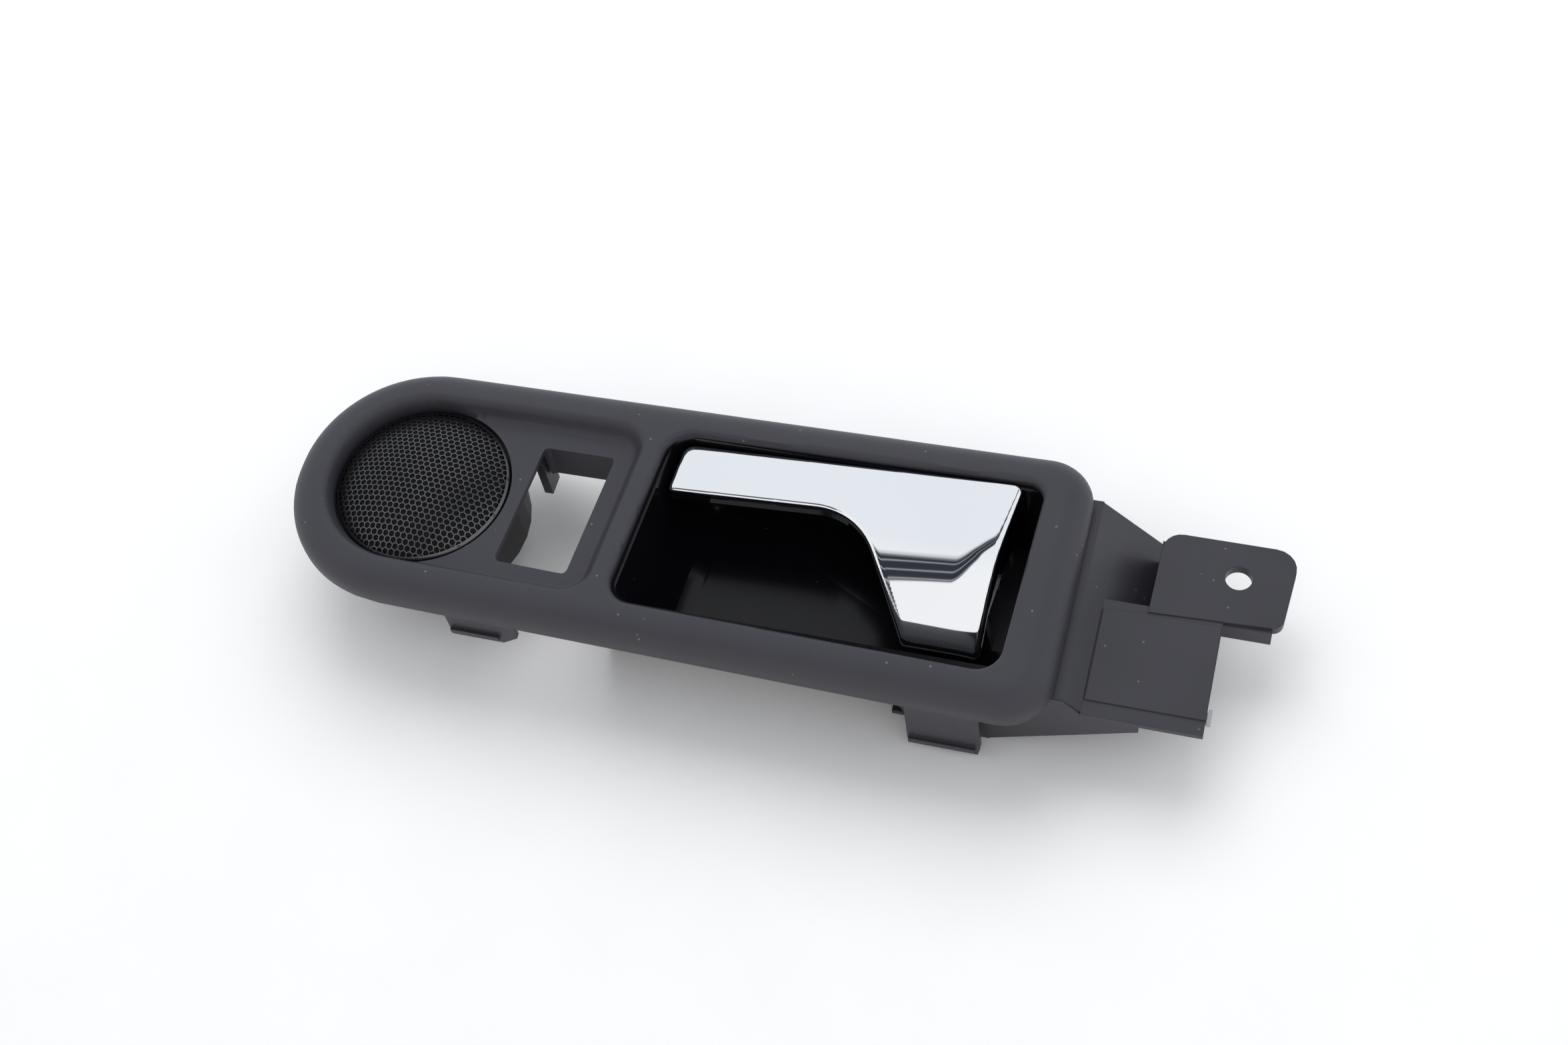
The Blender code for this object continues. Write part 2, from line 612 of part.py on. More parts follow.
def make_cover(parts, cutters):
    """The chrome cover: a curved L-shaped skin, a deep right flank and two screw bosses."""
    cover = lever_prism("lever_cover", LEVER, -30, 4, parts)
    combine(cover, "INTERSECT", [face_band("cover_band", cover_skin, cutters)])
    flank = [
        (161.0, -15.0, 0), (162.2, -15.1, 0.4), (164.1, 6, 0),
        (167.0, 27.6, 0.8), (165.5, 27.6, 0), (162.7, 6, 0),
    ]
    flank_plate = plate("flank", rounded(flank, 2), -15.5, 4, cutters)
    combine(flank_plate, "INTERSECT", [face_band("flank_band", lambda y: 30, cutters, 1.0)])
    bosses = [
        rod(f"cover_boss_{i}", (x, COVER_SCREW_Y, CORE_TOP_Z + GAP), (x, COVER_SCREW_Y, -4), 3.0, cutters, 20)
        for i, x in enumerate(COVER_SCREWS_X)
    ]
    join(cover, flank_plate, *bosses)
    cut(cover, *[
        rod(f"cover_hole_{i}", (x, COVER_SCREW_Y, -14), (x, COVER_SCREW_Y, -4.4), SCREW_SHANK + GAP, cutters, 10)
        for i, x in enumerate(COVER_SCREWS_X)
    ])
    return cover


def make_core(parts, cutters):
    """The plastic arm under the cover, with the two hinge barrels and the arm that pulls the cable."""
    slab = [(133, 0.6, 1), (161.4, 0.6, 1), (161.4, 26, 2), (133, 26, 1)]
    core = plate("lever_core", rounded(slab, 3), CORE_BOTTOM_Z, CORE_TOP_Z, parts)
    arm = [
        (PIVOT_X - 3.4, PIVOT_Z), (PIVOT_X - 3.0, -31.5), (PIVOT_X - 1.0, -33), (PIVOT_X + 1.6, -33),
        (PIVOT_X + 3.0, -31.5), (PIVOT_X + 3.4, PIVOT_Z),
    ]
    pieces = [
        block("bar_core", (76, 15.5, -9.6), (134, 25, -6.6), cutters),
        block("core_heel", (129, 15.5, -11), (134.5, 25, -8), cutters),
        plate("cable_arm", arm, CABLE_Y - 2, CABLE_Y + 2, cutters, "Y"),
    ]
    for index, (low, high) in enumerate(((-1.2, 3.4), (16.0, 21.8))):
        pieces.append(rod(f"barrel_{index}", (PIVOT_X, low, PIVOT_Z), (PIVOT_X, high, PIVOT_Z), BARREL_RADIUS, cutters))
        pieces.append(block(f"barrel_neck_{index}", (PIVOT_X - 3.6, max(low, 0.8), PIVOT_Z),
                            (PIVOT_X + 3.4, high, CORE_BOTTOM_Z + 1), cutters))
    join(core, *pieces)
    bosses = [
        rod(f"core_hole_{i}", (x, COVER_SCREW_Y, -14), (x, COVER_SCREW_Y, -8), SCREW_SHANK + GAP, cutters, 10)
        for i, x in enumerate(COVER_SCREWS_X)
    ]
    cut(
        core,
        *bosses,
        rod("barrel_bore", (PIVOT_X, -3, PIVOT_Z), (PIVOT_X, 24, PIVOT_Z), BARREL_BORE, cutters),
        rod("nipple_seat", (PIVOT_X, CABLE_Y - 3, -29.6), (PIVOT_X, CABLE_Y + 3, -29.6), 1.8, cutters, 16),
        block("nipple_mouth", (PIVOT_X, CABLE_Y - 3, -30.4), (PIVOT_X + 6, CABLE_Y + 3, -28.8), cutters),
    )
    return core


# ---------------------------------------------------------------- hinge and fasteners


def make_pin(parts, cutters):
    pin = rod("hinge_pin", (PIVOT_X, PIN_NEAR - 1.1, PIVOT_Z), (PIVOT_X, PIN_NEAR, PIVOT_Z), 2.8, parts)
    shaft = rod("pin_shaft", (PIVOT_X, PIN_NEAR - 0.5, PIVOT_Z), (PIVOT_X, PIN_FAR, PIVOT_Z), PIN_RADIUS, cutters)
    join(pin, shaft)
    groove = rod("pin_groove", (PIVOT_X, 26.2, PIVOT_Z), (PIVOT_X, 27.1, PIVOT_Z), 3, cutters)
    cut(groove, rod("groove_core", (PIVOT_X, 20, PIVOT_Z), (PIVOT_X, 30, PIVOT_Z), 1.4, cutters))
    cut(pin, groove)
    return pin


def make_pin_clip(parts, cutters):
    """A snap ring in the pin's groove, open at the bottom."""
    clip = rod("pin_clip", (PIVOT_X, 26.4, PIVOT_Z), (PIVOT_X, 26.9, PIVOT_Z), 3.4, parts)
    cut(
        clip,
        rod("clip_bore", (PIVOT_X, 26, PIVOT_Z), (PIVOT_X, 27.5, PIVOT_Z), 1.65, cutters),
        block("clip_gap", (PIVOT_X - 1.2, 26, PIVOT_Z - 5), (PIVOT_X + 1.2, 27.5, PIVOT_Z), cutters),
    )
    return clip


def make_bush(name, low, high, parts, cutters):
    bush = rod(name, (PIVOT_X, low, PIVOT_Z), (PIVOT_X, high, PIVOT_Z), BUSH_RADIUS, parts)
    cut(bush, rod(f"{name}_bore", (PIVOT_X, low - 1, PIVOT_Z), (PIVOT_X, high + 1, PIVOT_Z), BARREL_BORE, cutters))
    return bush


def make_spring(parts):
    """A torsion spring round the pin. One leg stands on the beam, the other lies under the core."""
    first, last = 4.6, 14.6
    points = [(PIVOT_X - 9, 4.6, PIVOT_Z + SPRING_RADIUS - 0.6)]
    total = 10 * SPRING_TURNS + 3
    for step in range(total + 1):
        angle = math.pi / 2 - 2 * math.pi * step / 10
        y = first + (last - first) * step / total
        points.append((PIVOT_X + SPRING_RADIUS * math.cos(angle), y, PIVOT_Z + SPRING_RADIUS * math.sin(angle)))
    points.append((points[-1][0] - 0.2, last, BASE_Z + 3))
    curve = bpy.data.curves.new("return_spring", "CURVE")
    curve.dimensions = "3D"
    curve.bevel_depth = SPRING_WIRE * MM
    curve.bevel_resolution = 1
    curve.use_fill_caps = True
    spline = curve.splines.new("POLY")
    spline.points.add(len(points) - 1)
    for point, place in zip(spline.points, points):
        point.co = (*[value * MM for value in place], 1)
    spring = bpy.data.objects.new("return_spring", curve)
    parts.objects.link(spring)
    return spring


def make_screw(name, x, y, seat, length, parts, cutters):
    """A screw whose shank points up from its head, which is seated at z = seat."""
    screw = rod(name, (x, y, seat - 1.6), (x, y, seat), SCREW_HEAD, parts, 12)
    join(screw, rod(f"{name}_shank", (x, y, seat - 0.5), (x, y, seat + length), SCREW_SHANK, cutters, 8))
    cut(screw, rod(f"{name}_drive", (x, y, seat - 3), (x, y, seat - 1.0), 0.8, cutters, 6))
    return screw


def make_cable_clip(parts):
    """A small angled clip under the edge of the box plate."""
    under, edge = PLATE_TOP_Z - PLATE_THICKNESS - GAP, BOX_RIGHT + GAP
    outline = [(219, under), (219, under - 1), (edge + 1, under - 1), (edge + 1, PLATE_TOP_Z - 0.6),
               (edge, PLATE_TOP_Z - 0.6), (edge, under)]
    return plate("cable_clip", outline, -25.8, -22.2, parts, "Y")


# ---------------------------------------------------------------- assembly


def place(objects, slot, parent):
    for obj in objects:
        obj.data.materials.clear()
        obj.data.materials.append(material(obj.name, slot))
        obj.parent = parent


def move_to_pivot(objects, pivot):
    """Shifts lever meshes and their cutters so that they are measured from the hinge axis."""
    shift = Matrix.Translation(Vector((-PIVOT_X, 0, -PIVOT_Z)) * MM)
    seen = set()
    queue = list(objects)
    while queue:
        obj = queue.pop()
        if obj.name in seen:
            continue
        seen.add(obj.name)
        obj.data.transform(shift)
        obj.parent = pivot
        queue += [modifier.object for modifier in obj.modifiers if modifier.type == "BOOLEAN"]


def main():
    clear_scene()
    parts = new_collection("door_handle")
    cutters = new_collection("cutters")
    frame = bpy.data.objects.new("door_handle_origin", None)
    parts.objects.link(frame)
    frame.location = Vector(FRAME_SHIFT) * MM
    pivot = bpy.data.objects.new("lever_pivot", None)
    parts.objects.link(pivot)
    pivot.parent = frame
    pivot.location = Vector((PIVOT_X, 0, PIVOT_Z)) * MM
    pivot.rotation_euler = (0, LEVER_TILT, 0)

    place([make_bezel(parts, cutters)], "trim", frame)
    grille, ring, cup, tweeter_frame, dome, magnet, socket = make_tweeter(parts, cutters)
    place([grille], "mesh", frame)
    place([ring, cup, tweeter_frame, socket], "black_plastic", frame)
    place([dome], "silk", frame)
    place([magnet], "magnet", frame)
    place([make_liner(parts, cutters)], "gloss", frame)
    place([make_housing(parts, cutters)], "plastic", frame)

    cover = make_cover(parts, cutters)
    core = make_core(parts, cutters)
    cover_screws = [
        make_screw(f"cover_screw_{i + 1}", x, COVER_SCREW_Y, CORE_BOTTOM_Z - GAP, 6.5, parts, cutters)
        for i, x in enumerate(COVER_SCREWS_X)
    ]
    place([cover], "chrome", pivot)
    place([core], "black_plastic", pivot)
    place(cover_screws, "steel", pivot)
    move_to_pivot([cover, core, *cover_screws], pivot)

    place([make_pin(parts, cutters), make_pin_clip(parts, cutters), make_spring(parts)], "steel", frame)
    bushes = [
        make_bush("bush_near", -5.0, -1.6, parts, cutters),
        make_bush("bush_far", 22.1, 25.5, parts, cutters),
    ]
    place(bushes, "natural_plastic", frame)
    stops = [
        rod(f"lever_stop_{i + 1}", (145, y, -19.7), (145, y, -13.4), 3.0, parts, 20)
        for i, y in enumerate((9, 24))
    ]
    place(stops, "rubber", frame)
    flange_bottom = FLANGE_TOP_Z - FLANGE_THICKNESS
    screws = [
        make_screw(f"bezel_screw_{i + 1}", x, y, flange_bottom - GAP, 6.5, parts, cutters)
        for i, (x, y) in enumerate(BEZEL_SCREWS)
    ]
    screws += [
        make_screw(f"cup_screw_{i + 1}", x, y, -10.7, 6.5, parts, cutters)
        for i, (x, y) in enumerate(cup_screw_places())
    ]
    place(screws, "steel", frame)
    place([make_cable_clip(parts)], "steel", frame)
    for cutter in cutters.objects:
        cutter.hide_render = True
        cutter.display_type = "WIRE"
        if cutter.parent is None:
            cutter.parent = frame


main()
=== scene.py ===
"""Looks, stage and camera for an interior car door handle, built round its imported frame.

Lengths in the outlines are millimetres from the centre of the tweeter grille: X along the handle,
Y across it, Z out of the door with 0 on the bezel's face. place_at() turns them into the frame's metres.
"""

import json
import math

import bpy
import numpy as np
from bpy.props import FloatProperty, FloatVectorProperty, IntProperty, PointerProperty
from mathutils import Matrix, Vector


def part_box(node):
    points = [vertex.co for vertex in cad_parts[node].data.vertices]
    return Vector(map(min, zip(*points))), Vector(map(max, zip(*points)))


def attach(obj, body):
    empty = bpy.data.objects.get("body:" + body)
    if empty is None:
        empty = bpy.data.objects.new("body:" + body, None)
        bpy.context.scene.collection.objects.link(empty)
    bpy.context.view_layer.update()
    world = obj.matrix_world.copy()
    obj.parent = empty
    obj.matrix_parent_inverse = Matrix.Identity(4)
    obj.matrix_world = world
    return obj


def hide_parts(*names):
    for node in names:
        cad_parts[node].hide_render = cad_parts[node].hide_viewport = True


bl_info = {
    "name": "Interior Door Handle",
    "version": (1, 0, 0),
    "blender": (4, 5, 0),
    "location": "View3D > Sidebar > Door Handle",
    "description": "Builds the finished surfaces of an interior car door handle",
    "category": "Object",
}

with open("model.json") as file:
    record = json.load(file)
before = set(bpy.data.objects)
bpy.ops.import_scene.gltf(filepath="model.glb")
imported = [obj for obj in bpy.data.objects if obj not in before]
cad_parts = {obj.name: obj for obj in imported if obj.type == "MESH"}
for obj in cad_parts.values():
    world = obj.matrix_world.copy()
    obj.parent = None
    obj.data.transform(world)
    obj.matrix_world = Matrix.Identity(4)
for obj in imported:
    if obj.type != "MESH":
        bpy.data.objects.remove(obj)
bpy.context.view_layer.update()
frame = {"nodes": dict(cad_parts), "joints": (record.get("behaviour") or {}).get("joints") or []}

MM = 0.001
GRILLE_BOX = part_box("grille")
ORIGIN = np.array([
    (GRILLE_BOX[0].x + GRILLE_BOX[1].x) / 2,
    (GRILLE_BOX[0].y + GRILLE_BOX[1].y) / 2,
    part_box("bezel")[1].z,
])
PIVOT = (np.array(frame["joints"][0]["pos_m"]) - ORIGIN) / MM
LEVER_TILT = math.radians(-2.6)

BEZEL = [(-37.2, -36.59, 36.4), (185.4, -40.22, 13), (185.4, 40.22, 13), (-37.2, 36.59, 36.4)]
POCKET = [(63.2, -27.8, 7), (170.9, -29.3, 7), (172.6, 29.4, 5), (66.6, 27.8, 8)]
BAY = [(-26.8, -26.8, 26.5), (57.6, -27.6, 8), (60.8, 27.4, 8), (-26.8, 26.8, 26.5)]
SWITCH = [(28.2, -20.0, 1.5), (49.4, -20.4, 1.5), (51.9, 18.6, 1.5), (30.8, 18.2, 1.5)]
LEVER = [
    (69.3, 12.0, 1.2), (123.9, 13.5, 20), (140.9, -15.2, 1.5), (162.4, -15.4, 1.5),
    (164.3, 6.0, 40), (167.5, 28.3, 2.5), (70.9, 27.1, 3.5),
]

# Levels of the finger pocket from its mouth to its floor: height, left, right, near, far, radius, slant
POCKET_LEVELS = [
    (-2.5, 63.4, 175.3, -28.6, 29.2, 6.5, 3.2),
    (-8.2, 64.2, 175.3, -25.9, 29.0, 6.5, 2.8),
    (-20.0, 66.5, 175.2, -25.0, 28.6, 7.0, 2.5),
    (-28.5, 69.5, 174.6, -24.2, 27.8, 8.0, 2.0),
    (-32.6, 73.0, 173.2, -22.6, 26.2, 7.0, 2.0),
    (-34.0, 77.5, 171.0, -19.5, 23.0, 5.0, 2.0),
]
POCKET_RIGHT_RADIUS = 3.0

GRILLE_HOLE_RADIUS = 25.6
# Heights at the foot of each inner wall of the bezel
POCKET_WALL_FOOT = -3.0
GRILLE_WALL_FOOT = -7.0
SWITCH_WALL_FOOT = -6.8
SWITCH_FAR_SIDE = 17.4

# The leg of the lever bends down to a straight slope, and rolls over towards its right edge
LEG_START_Y = 12
LEG_BEND = 15
LEG_SLOPE = 0.798
ROLL_WIDTH = 11

# Right, up and back axes of the camera, and its place in millimetres
CAMERA_AXES = ((0.96089, 0.25371, -0.11099), (-0.15877, 0.83311, 0.52984), (0.22689, -0.49149, 0.84081))
CAMERA_PLACE = (236.30, -279.10, 484.32)
# Colours of the room from its near side to its far side
SKY_COLOURS = ((0.22, (1.0, 1.0, 1.0)), (0.45, (0.90, 0.92, 0.95)))
DARK_BAND = (0.035, 0.038, 0.05, 1)


# ---------------------------------------------------------------- sizes and colours


def colour(name, about, value):
    return FloatVectorProperty(
        name=name, description=about, subtype="COLOR", size=3, min=0, max=1, default=value
    )


def millimetres(name, about, value):
    return FloatProperty(name=name, description=about, unit="LENGTH", default=value * MM, min=0)


class BezelSettings(bpy.types.PropertyGroup):
    pitch: millimetres("Mesh pitch", "Distance between neighbouring points of the bezel", 0.8)
    rail_width: millimetres("Rail rounding width", "How far the rounded rail reaches in from its edge", 8.0)
    rail_drop: millimetres("Rail rounding drop", "Height of the rounding above the straight lip", 6.4)
    lip: millimetres("Lip", "Straight part of the edge below the rounding", 1.6)
    bay_depth: millimetres("Bay depth", "Depth of the bay floor below the face", 5.0)
    wall_run: millimetres("Bay wall run", "How far the bay wall leans in over its depth", 2.6)
    edge_radius: millimetres("Pocket edge radius", "Rounding of the pocket's mouth", 1.0)
    skirt: millimetres("Switch skirt", "Depth of the far side of the switch opening", 17.5)
    tint: colour("Trim colour", "Soft-touch paint", (0.030, 0.030, 0.039))


class GrilleSettings(bpy.types.PropertyGroup):
    pitch: millimetres("Hole pitch", "Distance between hole centres", 1.8)
    radius: millimetres("Radius", "Outer radius of the grille", 25.0)
    sphere: millimetres("Dome radius", "Radius of the domed face", 50.0)
    rim_height: millimetres("Rim depth", "Depth of the dome's rim below the face", 5.2)
    open_share: FloatProperty(
        name="Open share", description="Size of a hole against its cell", default=0.84, min=0.3, max=0.95,
        subtype="FACTOR",
    )
    tint: colour("Wire colour", "Lacquered metal mesh", (0.13, 0.13, 0.14))


class PocketSettings(bpy.types.PropertyGroup):
    wall: millimetres("Wall", "Thickness of the tub", 1.5)
    corner_steps: IntProperty(name="Corner steps", description="Points round each corner", default=10, min=2)
    tint: colour("Gloss colour", "Gloss black plastic", (0.004, 0.004, 0.006))


class LeverSettings(bpy.types.PropertyGroup):
    pitch: millimetres("Mesh pitch", "Distance between neighbouring points of the lever", 0.5)
    edge_radius: millimetres("Edge radius", "Rounding of the lever's edges", 1.2)
    bar_edge: millimetres("Bar edge", "Height of the finger bar's edge", 4.5)
    leg_edge: millimetres("Leg edge", "Height of the leg's edge", 2.4)
    flank: millimetres("Flank depth", "How deep the right flank reaches", 15.0)
    tint: colour("Chrome colour", "Bright plating", (0.90, 0.92, 0.95))


class StageSettings(bpy.types.PropertyGroup):
    floor_size: FloatProperty(
        name="Floor size", description="Side of the floor", unit="LENGTH", default=8.0, min=1
    )
    floor_tint: colour("Floor colour", "Pale matt paper", (0.90, 0.90, 0.905))
    sky: FloatProperty(
        name="Sky strength", description="Brightness of the soft surroundings", default=0.95, min=0
    )
    key: FloatProperty(
        name="Key light", description="Power of the soft light above", unit="POWER", default=6.0, min=0
    )
    lens: FloatProperty(name="Lens", description="Focal length in millimetres", default=48.98, min=10)


# ---------------------------------------------------------------- outlines and grids


def place_at(points):
    return ORIGIN + np.asarray(points, float) * MM


def rounded(corners, steps=10):
    """Outline points of a polygon with (x, y, radius) corners."""
    outline = []
    for index, corner in enumerate(corners):
        here = Vector(corner[:2])
        before = (Vector(corners[index - 1][:2]) - here).normalized()
        after = (Vector(corners[(index + 1) % len(corners)][:2]) - here).normalized()
        half = before.angle(after) / 2
        centre = here + (before + after).normalized() * corner[2] / math.sin(half)
        reach = corner[2] / math.tan(half)
        start, end = here + before * reach - centre, here + after * reach - centre
        sweep = start.angle_signed(end)
        for step in range(steps + 1):
            arm = start.copy()
            arm.rotate(Matrix.Rotation(-sweep * step / steps, 2))
            outline.append(tuple(centre + arm))
    return np.array(outline)


def distance_in(points, outline):
    """Distance inside an outline, negative outside, and the unit direction inwards."""
    start, end = outline, np.roll(outline, -1, axis=0)
    along = end - start
    length = np.maximum((along**2).sum(1), 1e-12)
    offset = points[:, None, :] - start[None]
    share = np.clip((offset * along).sum(2) / length, 0, 1)
    gap = offset - share[..., None] * along
    squared = (gap**2).sum(2)
    nearest = squared.argmin(1)
    rows = np.arange(len(points))
    distance = np.sqrt(squared[rows, nearest])
    y = points[:, 1][:, None]
    spans = (start[None, :, 1] > y) != (end[None, :, 1] > y)
    rise = np.where(along[:, 1] == 0, 1e-12, along[:, 1])
    crossing = start[:, 0] + (y - start[:, 1]) / rise * along[:, 0]
    inside = (spans & (points[:, 0][:, None] < crossing)).sum(1) % 2 == 1
    signed = np.where(inside, distance, -distance)
    side = along[nearest] / np.sqrt(length[nearest])[:, None]
    inward = np.stack([-side[:, 1], side[:, 0]], 1)
    clear = distance > 1e-4
    inward[clear] = gap[rows, nearest][clear] / signed[clear][:, None]
    return signed, inward


def trimmed_grid(outer, holes, pitch):
    """Points and quads that fill an outline round its holes, with the border drawn onto the outlines."""
    low, high = outer.min(0) - pitch, outer.max(0) + pitch
    xs, ys = np.arange(low[0], high[0], pitch), np.arange(low[1], high[1], pitch)
    points = np.stack(np.meshgrid(xs, ys, indexing="ij"), 2).reshape(-1, 2)
    across = len(ys)
    corner = (np.arange(len(xs) - 1)[:, None] * across + np.arange(across - 1)).ravel()
    quads = np.stack([corner, corner + across, corner + across + 1, corner + 1], 1)
    middles = points[quads].mean(1)
    kept = distance_in(middles, outer)[0] > 0
    for hole in holes:
        kept &= distance_in(middles, hole)[0] < 0
    quads = quads[kept]
    used, compact = np.unique(quads, return_inverse=True)
    quads, points = compact.reshape(-1, 4), points[used]
    edges = np.concatenate([quads[:, [i, (i + 1) % 4]] for i in range(4)])
    _, index, count = np.unique(np.sort(edges, 1), axis=0, return_index=True, return_counts=True)
    border = edges[index[count == 1]]
    rim = np.unique(border)
    label = np.full(len(points), -1)
    best = np.full(len(rim), 1e9)
    target = points[rim].copy()
    for number, outline in enumerate([outer, *holes]):
        signed, inward = distance_in(points[rim], outline)
        closer = np.abs(signed) < best
        best[closer] = np.abs(signed)[closer]
        target[closer] = (points[rim] - inward * signed[:, None])[closer]
        label[rim[closer]] = number
    points[rim] = target
    neighbours = np.concatenate([edges, edges[:, ::-1]])
    free = np.ones(len(points), bool)
    free[rim] = False
    for _ in range(4):
        total, amount = np.zeros_like(points), np.zeros(len(points))
        np.add.at(total, neighbours[:, 0], points[neighbours[:, 1]])
        np.add.at(amount, neighbours[:, 0], 1)
        points[free] = (total / amount[:, None])[free]
    return points, quads, border, label


def rolled_edge(points, outline, profile, band):
    """Moves the points near an outline onto a rolled profile of (inset, height), and returns both."""
    signed, inward = distance_in(points, outline)
    signed = np.maximum(signed, 0)
    profile = np.array(profile)
    steps = np.r_[0, np.cumsum(np.hypot(*np.diff(profile, axis=0).T))]
    travel = np.minimum(signed / band, 1) * steps[-1]
    inset = np.where(signed < band, np.interp(travel, steps, profile[:, 0]), signed)
    height = np.where(signed < band, np.interp(travel, steps, profile[:, 1]), profile[-1, 1])
    return points + inward * (inset - signed)[:, None], height


def quarter(width, drop, steps=12):
    """A quarter ellipse as (inset, height), from its foot up to its crest at height 0."""
    turns = [math.pi / 2 * i / steps for i in range(steps + 1)]
    return [(width * (1 - math.cos(a)), -drop * (1 - math.sin(a))) for a in turns]


def smooth_step(value):
    value = np.clip(value, 0, 1)
    return value * value * (3 - 2 * value)


def with_skirt(points, quads, border, bottoms):
    """Adds a wall below each border edge, down to the height that bottoms gives for its points."""
    rim = np.unique(border)
    rows, faces = [points], [tuple(q) for q in quads]
    lower = {}
    for step, share in enumerate((0.5, 1.0)):
        level = points[rim].copy()
        level[:, 2] += (bottoms[rim] - level[:, 2]) * share
        first = len(points) + step * len(rim)
        rows.append(level)
        lower[step] = dict(zip(rim.tolist(), range(first, first + len(rim))))
    for a, b in border.tolist():
        faces.append((b, a, lower[0][a], lower[0][b]))
        faces.append((lower[0][b], lower[0][a], lower[1][a], lower[1][b]))
    return np.concatenate(rows), faces


def piece_from(name, points, faces, finish, body):
    mesh = bpy.data.meshes.new(name)
    mesh.from_pydata(place_at(points).tolist(), [], [tuple(map(int, f)) for f in faces])
    mesh.update()
    piece = bpy.data.objects.new(name, mesh)
    bpy.context.scene.collection.objects.link(piece)
    mesh.materials.append(finish)
    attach(piece, body)
    return piece


def thicken(piece, thickness, offset=-1.0):
    wall = piece.modifiers.new("wall", "SOLIDIFY")
    wall.thickness = thickness
    wall.offset = offset
    wall.use_even_offset = False


def settle(piece, angle=35):
    """Applies the modifiers and keeps only the edges over this angle sharp."""
    bpy.context.view_layer.update()
    graph = bpy.context.evaluated_depsgraph_get()
    mesh = bpy.data.meshes.new_from_object(piece.evaluated_get(graph))
    piece.modifiers.clear()
    piece.data = mesh
    mesh.polygons.foreach_set("use_smooth", [True] * len(mesh.polygons))
    mesh.set_sharp_from_angle(angle=math.radians(angle))


# ---------------------------------------------------------------- finishes


def surface(name, tint, roughness, metallic=0.0, grain=900, depth=0.02, mottle=0.12, dust=0.0, soften=0.0):
    """A moulded, painted or plated finish with a fine grain, a slight change of colour and some dust."""
    made = bpy.data.materials.new(name)
    made.use_nodes = True
    nodes, links = made.node_tree.nodes, made.node_tree.links
    shader = nodes["Principled BSDF"]
    shader.inputs["Metallic"].default_value = metallic
    where = nodes.new("ShaderNodeTexCoord")

    broad = nodes.new("ShaderNodeTexNoise")
    broad.inputs["Scale"].default_value = 28
    broad.inputs["Detail"].default_value = 3
    links.new(where.outputs["Object"], broad.inputs["Vector"])
    shade = nodes.new("ShaderNodeValToRGB")
    shade.color_ramp.elements[0].position = 0.3
    shade.color_ramp.elements[1].position = 0.7
    for element, share in zip(shade.color_ramp.elements, (1 - mottle, 1 + mottle)):
        element.color = (*[min(1.0, c * share) for c in tint], 1)
    links.new(broad.outputs["Fac"], shade.inputs["Fac"])
    painted = shade.outputs["Color"]

    if dust > 0:
        specks = nodes.new("ShaderNodeTexVoronoi")
        specks.inputs["Scale"].default_value = 170
        links.new(where.outputs["Object"], specks.inputs["Vector"])
        spots = nodes.new("ShaderNodeMapRange")
        spots.inputs["From Min"].default_value = 0.02
        spots.inputs["From Max"].default_value = 0.07
        spots.inputs["To Min"].default_value = dust
        spots.inputs["To Max"].default_value = 0
        links.new(specks.outputs["Distance"], spots.inputs["Value"])
        layer = nodes.new("ShaderNodeMix")
        layer.data_type = "RGBA"
        layer.inputs["B"].default_value = (0.35, 0.34, 0.33, 1)
        links.new(spots.outputs["Result"], layer.inputs["Factor"])
        links.new(painted, layer.inputs["A"])
        painted = layer.outputs["Result"]
    links.new(painted, shader.inputs["Base Color"])

    fine = nodes.new("ShaderNodeTexNoise")
    fine.inputs["Scale"].default_value = grain
    fine.inputs["Detail"].default_value = 2
    links.new(where.outputs["Object"], fine.inputs["Vector"])
    spread = nodes.new("ShaderNodeMapRange")
    spread.inputs["To Min"].default_value = max(0.0, roughness * 0.88)
    spread.inputs["To Max"].default_value = min(1.0, roughness * 1.12)
    links.new(fine.outputs["Fac"], spread.inputs["Value"])
    links.new(spread.outputs["Result"], shader.inputs["Roughness"])
    bump = nodes.new("ShaderNodeBump")
    bump.inputs["Strength"].default_value = 0.5
    bump.inputs["Distance"].default_value = depth * MM
    links.new(fine.outputs["Fac"], bump.inputs["Height"])
    if soften > 0:
        edge = nodes.new("ShaderNodeBevel")
        edge.samples = 4
        edge.inputs["Radius"].default_value = soften * MM
        links.new(edge.outputs["Normal"], bump.inputs["Normal"])
    links.new(bump.outputs["Normal"], shader.inputs["Normal"])
    return made


# ---------------------------------------------------------------- the pieces


